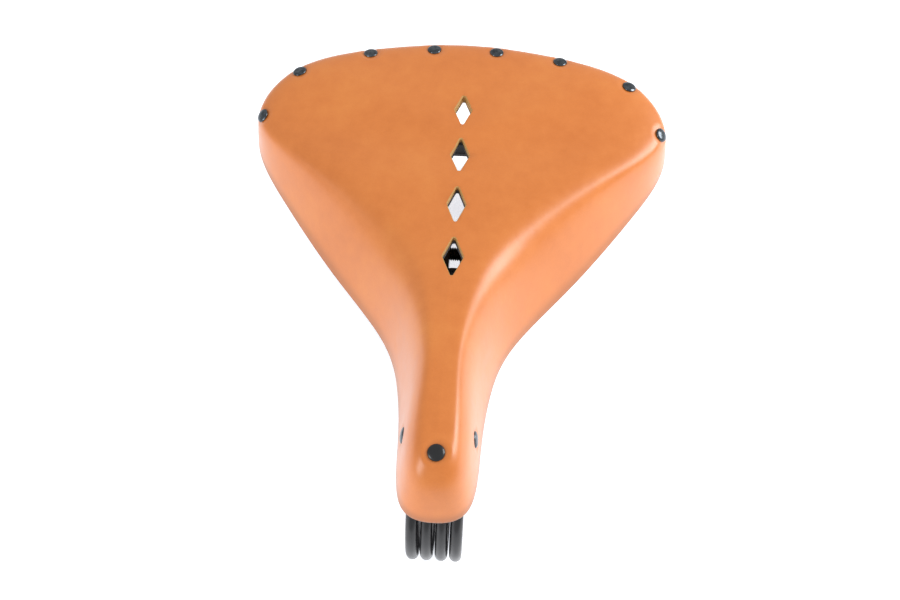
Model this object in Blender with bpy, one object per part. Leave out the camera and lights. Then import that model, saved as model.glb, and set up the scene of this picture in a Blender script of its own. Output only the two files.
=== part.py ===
"""Sprung leather bicycle saddle, at rest.

+X is the rider's right, +Y the rear, +Z up, and z = 0 is the surface it stands on.
Sizes are in millimetres and are scaled to metres where a mesh is made.
"""

import math

import bmesh
import bpy
import numpy as np
from mathutils import Matrix, Vector
from mathutils.geometry import interpolate_bezier

MM = 0.001
MERGE = 1e-6
GAP = 0.3  # between pieces that touch

# Driving sizes
LEATHER = 5.0
PLATE = 2.5
WIRE = 3.0  # radius of the frame wires
LOOP_RADIUS = 27.0
LOOP_Y = -114.4
LOOP_Z = WIRE + LOOP_RADIUS
INNER_X = 3.5
OUTER_X = 10.3
SHACKLE_Y = (-84.0, -66.0)
BOLT_Z = 74.0  # height of the tension bolt
RAIL_X = 22.0
UPPER_RAIL_Z = 38.0
LOWER_RAIL_Z = 18.0
RAIL_Y = (2.0, 62.0)  # straight stretch that the clamp slides on
TAIL_Y = (90.0, 120.0)
CLAMP_Y = 40.0
CLAMP_Z = (UPPER_RAIL_Z + LOWER_RAIL_Z) / 2
POST_RADIUS = 11.1
SLEEVE = 1.4  # thickness of the bush round the post
COLLAR = 2.6  # thickness of the collar's ring
COLLAR_SLOT = 3.2  # half the space between its ears
POST_Y = 15.0
SPRING_X = 58.0
SPRING_Y = 108.0
SPRING_RADIUS = 18.0
SPRING_WIRE = 2.5
SPRING_TURNS = 5
STUD = 4.0  # radius of every M8 shank
HEX = 7.5  # corner radius of an M8 nut or head
NUT = 6.0
WASHER = 9.0

# Heights of the pieces stacked under each rear spring
KEEPER_Z = (8.6, 17.4)
TAIL_Z = 17.7
BRIDGE_Z = (21.0, 24.0)
LOWER_SEAT_Z = (24.3, 26.8)
UPPER_SEAT_Z = (79.7, 82.0)
LUG_Z = (82.3, 85.3)

# The leather top: crown (y, z), shoulder (x, y, z) and hem (x, y, z) of the right half,
# station by station from the middle of the rear edge round to the tip of the nose.
STATIONS = np.array([
    (73, 98, 0, 135, 107, 0, 145, 88),
    (71, 98, 58, 127, 106, 62, 138, 86),
    (65, 97, 98, 109, 104, 105, 118, 80),
    (53, 95, 113, 77, 96, 118, 85, 68),
    (33, 94, 80, 43, 93, 99, 49, 57),
    (3, 91, 37, 1, 90, 66, 6, 47),
    (-32, 91, 20, -36, 90, 35, -34, 44),
    (-67, 92, 13, -69, 92, 23.5, -67, 47),
    (-97, 92.6, 13, -97, 92, 20, -100, 54),
    (-112, 91.9, 11, -125, 90, 16, -133, 61),
    (-116, 91.4, 0, -133, 88, 0, -141.5, 62),
], float)
LAST = len(STATIONS) - 1
ROUNDING = np.array((5, 5, 6, 7.5, 9.5, 11, 11, 10, 9, 9, 9), float)  # of the shoulder, by station
STATION_STEP = 0.25  # the plates share the leather's facets, so their gap stays even
SHARE_STEP = 0.1
SLOTS = (  # centre x and y, half width, half length
    (1.0, 84.4, 4.7, 9.9),
    (0.9, 53.8, 5.0, 10.9),
    (0.8, 20.8, 4.9, 10.9),
    (0.9, -12.5, 5.3, 12.1),
)

# Rivets, as (station, share of the way from crown to hem)
REAR_RIVETS = ((0.32, 0.425), (1.0, 0.455), (1.98, 0.49), (2.92, 0.56))
NOSE_RIVETS = {"top": (LAST, 0.1), "right": (8.12, 0.87), "left": (-8.12, 0.87)}
RIVET_HEAD = 3.9
RIVET_SHANK = 2.0
RIVET_TAIL = 2.9
RIVET_GRIP = 8.4  # leather and plate, measured along a rivet near the rim's corner


# Small mathematics

def spline(knots, values, at):
    """The natural cubic spline through values at knots, read at the places given."""
    steps = np.diff(knots)[:, None]
    slopes = np.diff(values, axis=0) / steps
    system = np.eye(len(knots))
    right = np.zeros_like(values)
    for i in range(1, len(knots) - 1):
        before, after = steps[i - 1, 0], steps[i, 0]
        system[i, i - 1:i + 2] = before, 2 * (before + after), after
        right[i] = 6 * (slopes[i] - slopes[i - 1])
    bend = np.linalg.solve(system, right)
    i = np.clip(np.searchsorted(knots, at, side="right") - 1, 0, len(steps) - 1)
    a = ((knots[i + 1] - at) / steps[i, 0])[:, None]
    b = 1 - a
    curved = (a**3 - a) * bend[i] + (b**3 - b) * bend[i + 1]
    return a * values[i] + b * values[i + 1] + curved * steps[i] ** 2 / 6


def basis(share, control, degree=3):
    """Weight of one control point of a clamped B-spline with six of them."""
    knots = (0, 0, 0, 0, 1 / 3, 2 / 3, 1, 1, 1, 1)
    low, high = knots[control], knots[control + degree + 1]
    if degree == 0:
        return ((share >= low) & (share < high)).astype(float)
    total = np.zeros_like(share)
    if knots[control + degree] > low:
        rise = (share - low) / (knots[control + degree] - low)
        total += rise * basis(share, control, degree - 1)
    if high > knots[control + 1]:
        fall = (high - share) / (high - knots[control + 1])
        total += fall * basis(share, control + 1, degree - 1)
    return total


def around(centre, radius, start, end, steps):
    """Points on an arc in a plane, angles in degrees, both ends included."""
    angles = np.radians(np.linspace(start, end, steps + 1))
    return [(centre[0] + radius * math.cos(a), centre[1] + radius * math.sin(a)) for a in angles]


def circle(radius, sides=16, centre=(0, 0)):
    """A circle whose flats, not only its corners, keep outside the radius."""
    return around(centre, radius / math.cos(math.pi / sides), 0, 360 - 360 / sides, sides - 1)


# The leather's surface

def mirrored(rows):
    """Stations of the other half: the same with x turned round."""
    rows = rows.copy()
    rows[:, (2, 5)] *= -1
    return rows


def grid(low, high, step):
    return np.linspace(low, high, round((high - low) / step) + 1)


def unit(rows):
    return rows / np.linalg.norm(rows, axis=1)[:, None]


def sections(station):
    """Crown, shoulder, hem, the shoulder line's direction and its rounding, on the right half."""
    rows = np.vstack([mirrored(STATIONS[2:0:-1]), STATIONS, mirrored(STATIONS[-2:-4:-1])])
    knots = np.arange(-2, LAST + 3, dtype=float)
    read = spline(knots, rows, station)
    ahead = spline(knots, rows, station + 0.01) - spline(knots, rows, station - 0.01)
    crown = np.column_stack([np.zeros(len(read)), read[:, :2]])
    rounding = np.interp(station, knots[2:-2], ROUNDING)
    return crown, read[:, 2:5], read[:, 5:], ahead[:, 2:5], rounding


def eased(shoulder, end, rounding):
    """Where the rounding of the shoulder ends, never half way to the end or beyond."""
    length = np.linalg.norm(end - shoulder, axis=1)
    share = 0.5 * (1 - np.exp(-2 * rounding / length))
    return shoulder + share[:, None] * (end - shoulder)


def skin(station, share, depth=0.0):
    """Points at a depth under the leather's outer surface; negative stations are on the left.

    Each section is a smooth curve over the lines crown-shoulder-hem, and a deeper one is
    drawn over the same lines moved in by the depth, so that no corner folds over.
    """
    station, share = np.broadcast_arrays(np.asarray(station, float), np.asarray(share, float))
    station, share = station.ravel(), np.clip(share.ravel(), 0, 1 - 1e-9)
    far = np.abs(station)
    side = np.where(station < 0, -1.0, 1.0) * np.where(far > LAST, -1.0, 1.0)
    crown, shoulder, hem, along, rounding = sections(np.where(far > LAST, 2 * LAST - far, far))
    top = unit(np.cross(along, shoulder - crown))
    flank = unit(np.cross(along, hem - shoulder))
    corner = (top + flank) / (1 + np.sum(top * flank, axis=1))[:, None]
    crown = crown - (0, 0, depth)
    shoulder = shoulder - depth * corner
    hem = hem - depth * flank
    controls = (
        crown,
        0.55 * crown + 0.45 * shoulder,
        eased(shoulder, crown, rounding),
        eased(shoulder, hem, rounding),
        0.4 * shoulder + 0.6 * hem,
        hem,
    )
    points = sum(basis(share, k)[:, None] * c for k, c in enumerate(controls))
    points[:, 0] *= side
    return points


def skin_normal(station, share):
    """Outward normal of the leather; on the midline it lies in the plane of symmetry."""
    step = 0.01
    inner = np.clip(share, 2 * step, 1 - 2 * step)
    along = skin(station + step, inner) - skin(station - step, inner)
    across = skin(station, inner + step) - skin(station, inner - step)
    normal = np.cross(along, across)
    normal[share < step, 0] = 0
    return unit(normal)


# Scene, materials and placing

def clear_scene():
    for thing in list(bpy.data.objects):
        bpy.data.objects.remove(thing, do_unlink=True)


def material(name, colour, roughness, metallic):
    made = bpy.data.materials.new(name)
    made.use_nodes = True
    shader = made.node_tree.nodes["Principled BSDF"]
    shader.inputs["Base Color"].default_value = (*colour, 1)
    shader.inputs["Roughness"].default_value = roughness
    shader.inputs["Metallic"].default_value = metallic
    return made


def pivot(name, at, parent=None):
    """An empty on a joint's axis."""
    made = bpy.data.objects.new(name, None)
    bpy.context.scene.collection.objects.link(made)
    hang(made, at, parent)
    return made


def hang(thing, at, parent):
    """Places a thing at a point of the whole saddle, whatever it hangs from."""
    base = Vector((0, 0, 0))
    up = parent
    while up:
        base += up.location
        up = up.parent
    thing.parent = parent
    thing.location = Vector(at) * MM - base


def turned_up(direction):
    """The shortest turn that brings local Z to a direction."""
    return Vector((0, 0, 1)).rotation_difference(Vector(direction))


def piece(name, body, surface, at=(0, 0, 0), up=(0, 0, 1), parent=None):
    """One sub-part, from a bmesh whose own Z turns to the direction up."""
    mesh = bpy.data.meshes.new(name)
    bmesh.ops.recalc_face_normals(body, faces=body.faces)
    body.to_mesh(mesh)
    body.free()
    mesh.materials.append(surface)
    mesh.shade_smooth()
    mesh.set_sharp_from_angle(angle=math.radians(35))
    made = bpy.data.objects.new(name, mesh)
    bpy.context.scene.collection.objects.link(made)
    made.rotation_mode = "QUATERNION"
    made.rotation_quaternion = turned_up(up)
    hang(made, at, parent)
    return made


def combine(made, tool, operation):
    """Cuts a tool out of a piece, or adds it, and puts the tool out of sight."""
    change = made.modifiers.new(tool.name, "BOOLEAN")
    change.operation = operation
    change.object = tool
    tool.hide_render = True
    tool.display_type = "WIRE"


# Shapes

def prism(outlines, low, high):
    """A flat outline, with its holes, extruded along Z."""
    body = bmesh.new()
    for outline in outlines:
        ring = [body.verts.new((x * MM, y * MM, low * MM)) for x, y in outline]
        for a, b in zip(ring, ring[1:] + ring[:1]):
            body.edges.new((a, b))
    bmesh.ops.triangle_fill(body, use_beauty=True, edges=body.edges, normal=(0, 0, 1))
    lifted = bmesh.ops.extrude_face_region(body, geom=body.faces)["geom"]
    moved = [v for v in lifted if isinstance(v, bmesh.types.BMVert)]
    bmesh.ops.translate(body, vec=(0, 0, (high - low) * MM), verts=moved)
    return body


def turned(profile, sides=16):
    """A solid of revolution about Z, from (radius, height) points."""
    body = bmesh.new()
    line = [body.verts.new((r * MM, 0, h * MM)) for r, h in profile]
    edges = [body.edges.new(pair) for pair in zip(line, line[1:])]
    turn = {"axis": (0, 0, 1), "cent": (0, 0, 0), "angle": 2 * math.pi}
    bmesh.ops.spin(body, geom=line + edges, steps=sides, use_merge=True, **turn)
    bmesh.ops.remove_doubles(body, verts=body.verts, dist=MERGE)
    return body


def hexagon(low, high, bore=0.0):
    """A hexagonal head, or with a bore a nut."""
    outlines = [around((0, 0), HEX, 0, 300, 5)]
    if bore:
        outlines.append(circle(bore))
    return prism(outlines, low, high)


def shell(stations, shares, outer, inner):
    """A sheet that follows the leather, between two depths under its outer surface."""
    rows, columns = len(stations), len(shares)
    station, share = (part.ravel() for part in np.meshgrid(stations, shares, indexing="ij"))
    top = skin(station, share, outer)
    under = skin(station, share, inner)
    kept, index = np.unique(np.round(skin(station, share), 3), axis=0, return_inverse=True)
    index = index.ravel()
    count = len(kept)
    first = [int(np.argmax(index == k)) for k in range(count)]
    points = np.vstack([top[first], under[first]]) * MM
    faces = []
    for i in range(rows - 1):
        for j in range(columns - 1):
            a = i * columns + j
            corner = [int(index[k]) for k in (a, a + columns, a + columns + 1, a + 1)]
            faces.append(corner)
    edges = {(a, b) for f in faces for a, b in zip(f, f[1:] + f[:1])}
    rim = [(b, a, a + count, b + count) for a, b in edges if (b, a) not in edges]
    under_faces = [[k + count for k in reversed(f)] for f in faces]
    mesh = bpy.data.meshes.new("shell")
    mesh.from_pydata([tuple(p) for p in points], [], faces + under_faces + rim)
    body = bmesh.new()
    body.from_mesh(mesh)
    bpy.data.meshes.remove(mesh)
    return body


def rod(name, points, radius, surface, parent=None, at=(0, 0, 0)):
    """A round wire along points, with closed ends."""
    line = bpy.data.curves.new(name, "CURVE")
    line.dimensions = "3D"
    line.bevel_depth = radius * MM
    line.bevel_resolution = 2
    line.use_fill_caps = True
    route = line.splines.new("POLY")
    route.points.add(len(points) - 1)
    local = (np.array(points) - np.array(at)) * MM
    for dot, place in zip(route.points, local):
        dot.co = (*place, 1)
    line.materials.append(surface)
    made = bpy.data.objects.new(name, line)
    bpy.context.scene.collection.objects.link(made)
    hang(made, at, parent)
    return made


# Leather, plates and rivets

def rivet_places():
    """Name and surface coordinates of each rivet."""
    places = {}
    for k, (station, share) in enumerate(REAR_RIVETS):
        places[f"rear_rivet_{4 - k}"] = (-station, share)
        places[f"rear_rivet_{5 + k}"] = (station, share)
    for side, place in NOSE_RIVETS.items():
        places[f"nose_rivet_{side}"] = place
    return places


def rivet_frame(place):
    """Point on the leather and outward direction of a rivet."""
    station, share = (np.array([value], float) for value in place)
    return skin(station, share)[0], skin_normal(station, share)[0]


def rivet_holes(name, places, radius, high=15.0):
    """One helper with a round bar along each rivet, up to a height over the leather."""
    bars = bmesh.new()
    low = -18.0
    for place in places:
        at, up = rivet_frame(place)
        turn = turned_up(up).to_matrix().to_4x4()
        middle = Vector(at + up * (low + high) / 2)
        where = Matrix.Translation(middle * MM) @ turn
        sizes = {"radius1": radius * MM, "radius2": radius * MM, "depth": (high - low) * MM}
        bmesh.ops.create_cone(bars, cap_ends=True, segments=12, matrix=where, **sizes)
    return piece(name, bars, None)


def rivet(name, place, surface, parent):
    """A domed head outside, a shank through leather and plate, and a clenched end."""
    at, up = rivet_frame(place)
    back = -(RIVET_GRIP + GAP)
    profile = [
        (0, back - 1.2),
        (RIVET_TAIL - 0.4, back - 1.2),
        (RIVET_TAIL, back),
        (RIVET_SHANK, back),
        (RIVET_SHANK, GAP),
        (RIVET_HEAD, GAP),
        (0.93 * RIVET_HEAD, GAP + 0.5),
        (0.6 * RIVET_HEAD, GAP + 1.1),
        (0, GAP + 1.3),
    ]
    return piece(name, turned(profile, 12), surface, at, up, parent)


def slot_cutter():
    """Four long lozenges with rounded corners, as upright bars."""
    bars = bmesh.new()
    for x, y, half_x, half_y in SLOTS:
        corner = [(half_x, -0.7), (half_x, 0.7), (0.9, half_y - 0.6), (-0.9, half_y - 0.6)]
        outline = [(x + side * dx, y + side * dy) for side in (1, -1) for dx, dy in corner]
        bar = prism([outline], 70, 110)
        mesh = bpy.data.meshes.new("bar")
        bar.to_mesh(mesh)
        bars.from_mesh(mesh)
        bpy.data.meshes.remove(mesh)
        bar.free()
    return piece("slot_cutter", bars, None)


def leather_top(surface, parent):
    body = shell(grid(-LAST, LAST, STATION_STEP), grid(0, 1, SHARE_STEP), 0, LEATHER)
    top = piece("leather_top", body, surface, parent=parent)
    combine(top, slot_cutter(), "DIFFERENCE")
    places = rivet_places().values()
    combine(top, rivet_holes("leather_drill", places, RIVET_SHANK + GAP), "DIFFERENCE")
    return top


def spring_lug(side):
    """A round pad over the spring with a web up into the cantle plate."""
    pad = prism([circle(20.0, 24)], LUG_Z[0], LUG_Z[1])
    lug = piece(f"lug_{side}", pad, None, (side * SPRING_X, SPRING_Y, 0))
    outline = [(-10, 8.7), (10, 8.7), (10, 11.3), (-10, 11.3)]
    web = prism([outline], LUG_Z[1] - 1.5, 97.0)
    turn = Matrix.Rotation(math.radians(-24 * side), 4, "Z")
    bmesh.ops.transform(web, matrix=turn, verts=web.verts)
    return lug, piece(f"web_{side}", web, None, (side * SPRING_X, SPRING_Y, 0))


def cantle_plate(surface, parent):
    """The steel arch under the rear rim, with a lug over each spring."""
    outer = LEATHER + GAP
    body = shell(grid(-3.25, 3.25, STATION_STEP), grid(0.3, 0.7, SHARE_STEP), outer, outer + PLATE)
    plate = piece("cantle_plate", body, surface, parent=parent)
    bolt_holes = bmesh.new()
    for side in (-1, 1):
        for tool in spring_lug(side):
            combine(plate, tool, "UNION")
        where = Matrix.Translation(Vector((side * SPRING_X, SPRING_Y, 83)) * MM)
        sizes = {"radius1": (STUD + GAP) * MM, "radius2": (STUD + GAP) * MM, "depth": 10 * MM}
        bmesh.ops.create_cone(bolt_holes, cap_ends=True, segments=16, matrix=where, **sizes)
    combine(plate, piece("lug_drill", bolt_holes, None), "DIFFERENCE")
    places = [place for name, place in rivet_places().items() if "rear" in name]
    combine(plate, rivet_holes("cantle_drill", places, RIVET_SHANK + GAP), "DIFFERENCE")
    seats = rivet_holes("cantle_spot_faces", places, RIVET_TAIL + GAP, -RIVET_GRIP)
    combine(plate, seats, "DIFFERENCE")
    return plate


def nose_plate(surface, parent):
    """The steel cap inside the nose, with a cross wall that the tension bolt pushes on."""
    outer = LEATHER + GAP
    body = shell(grid(8, 12, STATION_STEP), grid(0, 0.9, SHARE_STEP), outer, outer + PLATE)
    plate = piece("nose_plate", body, surface, parent=parent)
    wall = prism([[(-9, -4.5), (9, -4.5), (9, 4.5), (6, 7), (-6, 7), (-9, 4.5)]], -2.0, 2.0)
    wall = piece("nose_wall", wall, None, (0, -118, BOLT_Z), (0, 1, 0))
    combine(plate, wall, "UNION")
    hole = prism([circle(3.3, 12)], -6.0, 6.0)
    combine(plate, piece("nose_bore", hole, None, (0, -118, BOLT_Z), (0, 1, 0)), "DIFFERENCE")
    places = [place for name, place in rivet_places().items() if "nose" in name]
    combine(plate, rivet_holes("nose_drill", places, RIVET_SHANK + GAP), "DIFFERENCE")
    return plate


# Tension gear under the nose

def wire_shackle(surface, parent):
    """The block that grips the four wires, with a lug for the tension bolt."""
    start, end = SHACKLE_Y
    holes = [circle(WIRE + GAP, 12, (x, 0)) for x in (-OUTER_X, -INNER_X, INNER_X, OUTER_X)]
    half, top, bottom = 14.1, 4.8, -5.2
    right = [(half, bottom), (half, 1.0), (half - 3.0, top)]
    block = right + [(-x, y) for x, y in reversed(right)]
    middle = LOOP_Z + LOOP_RADIUS
    body = prism([block, *holes], -(end - start), 0)
    made = piece("wire_shackle", body, surface, (0, start, middle), (0, -1, 0), parent)
    ear = prism([[(-8, -14), (8, -14), *around((0, 0), 8.0, 0, 180, 10)]], -8.0, 0)
    ear = piece("shackle_ear", ear, None, (0, start, BOLT_Z), (0, -1, 0))
    combine(made, ear, "UNION")
    bore = prism([circle(STUD + GAP)], -20.0, 5.0)
    combine(made, piece("shackle_bore", bore, None, (0, start, BOLT_Z), (0, -1, 0)), "DIFFERENCE")
    return made


def tension_bolt(surface, parent):
    """Spigot through the nose wall, a flange behind it, then the threaded shank."""
    front = -126.3
    profile = [
        (0, 0), (3.2, 0), (4.4, 1.0), (4.4, 6.0), (3.0, 6.0), (3.0, 10.6), (6.5, 10.6),
        (6.5, 13.6), (STUD, 13.6), (STUD, 65.0), (STUD - 0.8, 66.0), (0, 66.0),
    ]
    return piece("tension_bolt", turned(profile), surface, (0, front, BOLT_Z), (0, 1, 0), parent)


def tension_nut(surface, parent):
    start = SHACKLE_Y[0] - GAP
    body = hexagon(-NUT, 0, STUD + GAP)
    return piece("tension_nut", body, surface, (0, start, BOLT_Z), (0, 1, 0), parent)


# Wire frame and rear springs

def bend(start, end, reach, steps):
    """A smooth S from one point to another that leaves and arrives along Y."""
    start, end, along = Vector(start), Vector(end), Vector((0, reach, 0))
    return [tuple(p) for p in interpolate_bezier(start, start + along, end - along, end, steps)]


def wire_route(start_x, rail_z, tail_x):
    """Centre line of one right-hand wire, from the shackle round the loop to its tail."""
    top = LOOP_Z + LOOP_RADIUS
    loop = [(start_x, SHACKLE_Y[1] + 3, top)]
    for angle in np.radians(np.linspace(90, 270, 13)):
        y = LOOP_Y + LOOP_RADIUS * math.cos(angle)
        loop.append((start_x, y, LOOP_Z + LOOP_RADIUS * math.sin(angle)))
    middle = bend((start_x, LOOP_Y, WIRE), (RAIL_X, RAIL_Y[0], rail_z), 55, 15)
    flare = bend((RAIL_X, RAIL_Y[1], rail_z), (tail_x, TAIL_Y[0], TAIL_Z), 14, 12)
    return np.array(loop + middle[1:] + flare + [(tail_x, TAIL_Y[1], TAIL_Z)])


def frame_wires(surface):
    routes = {
        "outer": wire_route(OUTER_X, LOWER_RAIL_Z, SPRING_X + 8),
        "inner": wire_route(INNER_X, UPPER_RAIL_Z, SPRING_X - 8),
    }
    for which, route in routes.items():
        rod(f"wire_{which}_right", route, WIRE, surface)
        rod(f"wire_{which}_left", route * (-1, 1, 1), WIRE, surface)


def rear_bridge(surface):
    """The cross plate over the wire tails, with a round pad under each spring."""
    pad = (SPRING_X, SPRING_Y)
    right = [(30, 127.3), *around(pad, 20, 140, 430, 20), (44, 139), (32, 143)]
    outline = right + [(-x, y) for x, y in reversed(right)]
    holes = [circle(STUD + GAP, 16, (side * SPRING_X, SPRING_Y)) for side in (-1, 1)]
    piece("rear_bridge", prism([outline, *holes], *BRIDGE_Z), surface)


def wire_keeper(name, side, surface):
    """The block under the bridge, grooved for two wire tails."""
    low, high = KEEPER_Z
    deep = TAIL_Z - high
    cut = math.degrees(math.asin(deep / (WIRE + GAP)))
    line = [(-14, low), (14, low), (14, high)]
    for x in (8, -8):
        line += around((x, TAIL_Z), WIRE + GAP, -cut, cut - 180, 6)
    line += [(-14, high)]
    body = prism([[(x, z) for x, z in line]], -10, 10)
    at = (side * SPRING_X, SPRING_Y, 0)
    made = piece(name, body, surface, at)
    made.rotation_quaternion = Matrix.Rotation(math.radians(90), 3, "X").to_quaternion()
    bore = prism([circle(STUD + GAP)], low - 2, high + 2)
    combine(made, piece(f"{name}_bore", bore, None, at), "DIFFERENCE")
    return made


def spring_stack(side, word, seat, steel, bright):
    """Bottom bolt, washer, keeper, cup, nut, coil, then the parts fixed to the cantle."""
    at = (side * SPRING_X, SPRING_Y, 0)
    bolt = [
        (0, 0), (6.2, 0), (HEX, 1.2), (HEX, 6.0), (STUD, 6.0), (STUD, 36.0), (STUD - 0.8, 37.0),
        (0, 37.0),
    ]
    piece(f"spring_bottom_bolt_{word}", turned(bolt, 12), bright, at)
    washer = prism([circle(WASHER), circle(STUD + GAP)], 6.3, 8.3)
    piece(f"spring_bottom_washer_{word}", washer, bright, at)
    wire_keeper(f"wire_keeper_{word}", side, steel)
    cup = prism([circle(21, 24), circle(STUD + GAP)], *LOWER_SEAT_Z)
    piece(f"spring_bottom_seat_{word}", cup, steel, at)
    base = LOWER_SEAT_Z[1] + GAP
    piece(f"spring_bottom_nut_{word}", hexagon(base, base + NUT, STUD + GAP), bright, at)
    coil(f"rear_spring_{word}", at, side, steel)
    cup = prism([circle(21, 24), circle(STUD + GAP)], *UPPER_SEAT_Z)
    piece(f"spring_top_seat_{word}", cup, steel, at, parent=seat)
    nut_low = LUG_Z[1] + GAP
    piece(f"spring_top_nut_{word}", hexagon(nut_low, nut_low + NUT, STUD + GAP), bright, at,
          parent=seat)
    head = UPPER_SEAT_Z[0] - GAP
    bolt = [
        (0, head - 5.5), (6.2, head - 5.5), (HEX, head - 4.5), (HEX, head), (STUD, head),
        (STUD, 92.0), (STUD - 0.8, 93.0), (0, 93.0),
    ]
    piece(f"spring_top_bolt_{word}", turned(bolt, 12), bright, at, parent=seat)


def coil(name, at, side, surface):
    """A compression spring: a plain helix between the two cups."""
    low = LOWER_SEAT_Z[1] + GAP + SPRING_WIRE
    high = UPPER_SEAT_Z[0] - GAP - SPRING_WIRE
    share = np.linspace(0, 1, 13 * SPRING_TURNS + 1)
    angle = 2 * math.pi * SPRING_TURNS * share
    x = at[0] + side * SPRING_RADIUS * np.cos(angle)
    y = at[1] + SPRING_RADIUS * np.sin(angle)
    points = np.column_stack([x, y, low + (high - low) * share])
    rod(name, points, SPRING_WIRE, surface, at=(at[0], at[1], low))


# Seat-post clamp

def clamp_cheek(name, side, near, far, surface, parent):
    """A block grooved for both rails; near and far are its faces' distances from the middle."""
    grooved = near if near > RAIL_X else far
    plain = far if near > RAIL_X else near
    out = 1 if near > RAIL_X else -1
    tilt = math.degrees(math.asin(abs(grooved - RAIL_X) / (WIRE + GAP)))
    line = [(plain, -16), (grooved, -16)]
    for z in (LOWER_RAIL_Z - CLAMP_Z, UPPER_RAIL_Z - CLAMP_Z):
        arc = around((RAIL_X, z), WIRE + GAP, -90 + tilt, 90 - tilt, 6)
        if out < 0:
            arc = [(2 * RAIL_X - x, z_) for x, z_ in arc]
        line += arc
    line += [(grooved, 16), (plain, 16)]
    body = prism([[(side * x, z) for x, z in line]], -11, 11)
    at = (0, CLAMP_Y, CLAMP_Z)
    made = piece(name, body, surface, at, parent=parent)
    made.rotation_quaternion = Matrix.Rotation(math.radians(90), 3, "X").to_quaternion()
    bore = prism([circle(STUD + GAP)], near - 3, far + 3)
    combine(made, piece(f"{name}_bore", bore, None, at, (side, 0, 0)), "DIFFERENCE")
    return made


def split_ring(inner, outer, slot, middle, steps=28):
    """Outline of a ring with a slot of a given half width, at an angle from X."""
    open_in = math.degrees(math.asin(slot / inner))
    open_out = math.degrees(math.asin(slot / outer))
    line = around((0, 0), outer, middle + open_out, middle + 360 - open_out, steps)
    wide = inner / math.cos(math.pi / steps)  # so that the flats clear the full radius
    return line + around((0, 0), wide, middle + 360 - open_in, middle + open_in, steps)


def post_sleeve(surface, parent):
    """The thin split bush between the seat post and the collar."""
    ring = split_ring(POST_RADIUS, POST_RADIUS + SLEEVE, 0.6, 270)
    return piece("post_sleeve", prism([ring], -23, 3), surface, (0, POST_Y, CLAMP_Z), parent=parent)


def clamp_collar(surface, parent):
    """The split ring round the sleeve and the two ears the stud passes through."""
    inner = POST_RADIUS + SLEEVE + GAP
    ring = split_ring(inner, inner + COLLAR, COLLAR_SLOT, 90)
    at = (0, CLAMP_Y, CLAMP_Z)
    made = piece("clamp_collar", prism([ring], -22, 2), surface, (0, POST_Y, CLAMP_Z), parent=parent)
    for side in (-1, 1):
        near = POST_Y + inner - CLAMP_Y - 0.2
        line = [(near, -19), (near + 4, -19), *around((0, 0), 9.5, -75, 95, 10), (near, 1.5)]
        low, high = sorted((side * COLLAR_SLOT, side * 6.9))
        ear = piece(f"collar_ear_{side}", prism([line], low, high), None, at)
        turn = Matrix(((0, 0, 1), (1, 0, 0), (0, 1, 0)))
        ear.rotation_quaternion = turn.to_quaternion()
        combine(made, ear, "UNION")
    bore = prism([circle(STUD + GAP)], -10, 10)
    combine(made, piece("collar_bore", bore, None, at, (1, 0, 0)), "DIFFERENCE")
    return made


def clamp(steel, bright, carriage, collar_pivot):
    at = (0, CLAMP_Y, CLAMP_Z)
    half = 44.0
    stud = [
        (0, -half), (STUD - 0.8, -half), (STUD, 1 - half), (STUD, half - 1), (STUD - 0.8, half),
        (0, half),
    ]
    piece("clamp_stud", turned(stud), steel, at, (1, 0, 0), carriage)
    clamp_collar(steel, collar_pivot)
    post_sleeve(steel, collar_pivot)
    for side, word in ((-1, "left"), (1, "right")):
        out = (side, 0, 0)
        disc = prism([circle(11, 20), circle(STUD + GAP)], 7.2, 12.0)
        piece(f"clamp_serrated_disc_{word}", disc, steel, at, out, carriage)
        clamp_cheek(f"clamp_inner_cheek_{word}", side, 12.3, 21.7, steel, carriage)
        clamp_cheek(f"clamp_outer_cheek_{word}", side, 22.3, 30.0, steel, carriage)
        washer = prism([circle(WASHER), circle(STUD + GAP)], 30.3, 32.3)
        piece(f"clamp_washer_{word}", washer, bright, at, out, carriage)
        nut = hexagon(32.6, 32.6 + NUT + 0.5, STUD + GAP)
        piece(f"clamp_nut_{word}", nut, bright, at, out, carriage)


def main():
    clear_scene()
    leather = material("honey_leather", (0.72, 0.29, 0.10), 0.38, 0.0)
    dark = material("blued_rivet_steel", (0.09, 0.10, 0.12), 0.25, 1.0)
    black = material("black_enamelled_steel", (0.012, 0.012, 0.013), 0.35, 0.0)
    bright = material("zinc_plated_steel", (0.30, 0.30, 0.32), 0.35, 1.0)
    seat = pivot("seat_flex_axis", (0, LOOP_Y, LOOP_Z))
    nose = pivot("nose_slide_axis", (0, SHACKLE_Y[0], BOLT_Z), seat)
    carriage = pivot("clamp_carriage_axis", (0, CLAMP_Y, CLAMP_Z))
    leather_top(leather, seat)
    cantle_plate(black, seat)
    nose_plate(black, nose)
    for name, place in rivet_places().items():
        rivet(name, place, dark, nose if "nose" in name else seat)
    wire_shackle(black, seat)
    tension_bolt(bright, nose)
    tension_nut(bright, seat)
    frame_wires(black)
    rear_bridge(black)
    for side, word in ((-1, "left"), (1, "right")):
        spring_stack(side, word, seat, black, bright)
    clamp(black, bright, carriage, carriage)


main()
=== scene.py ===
"""Sprung leather bicycle saddle: leather, wires, springs, rivets, fastenings and stage.

Run as a script. Every shape is worked out in millimetres and put into its mesh in metres.
"""

import math

import bpy
import numpy as np
from mathutils import Matrix, Vector
from mathutils.geometry import interpolate_bezier


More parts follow.
